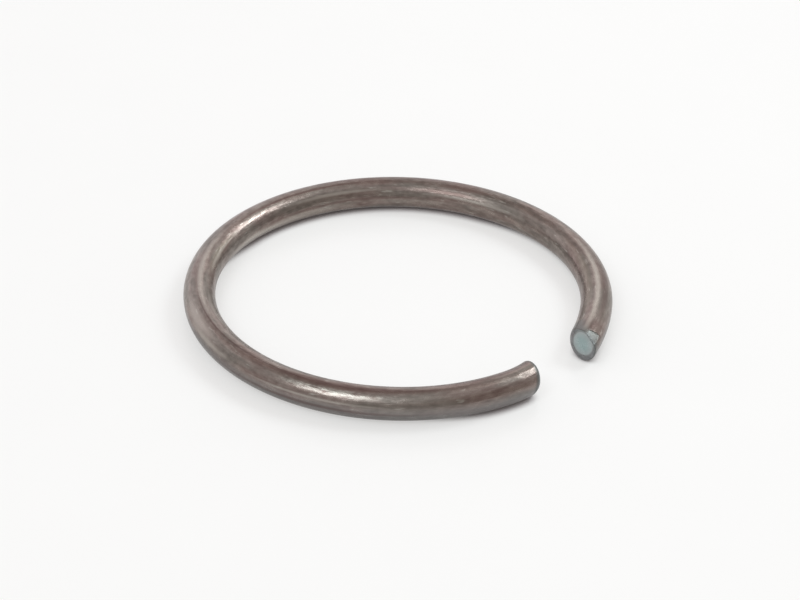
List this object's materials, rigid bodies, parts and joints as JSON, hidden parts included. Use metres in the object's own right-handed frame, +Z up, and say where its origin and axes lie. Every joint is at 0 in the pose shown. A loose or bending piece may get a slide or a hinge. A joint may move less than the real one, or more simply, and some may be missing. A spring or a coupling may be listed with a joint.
{
  "type": "round wire snap ring",
  "caption": "Open ring of round spring wire with plainly sheared, slightly uneven ends. It springs into a groove to keep a part in place on a shaft or inside a bore.",
  "frame": {"origin": "the middle of the ring, on the surface that it lies on", "axes": "+Z up along the ring's axis, with the opening between the wire ends towards -Y and +X to the right of it"},
  "size_m": [0.027, 0.027, 0.002],
  "materials": {
    "spring_wire": "drawn spring wire with a brownish grey satin oxide and fine lines along it, bare grey steel on the cut faces"
  },
  "bodies": {
    "root": {"snap_ring": "spring_wire"}
  },
  "joints": []
}
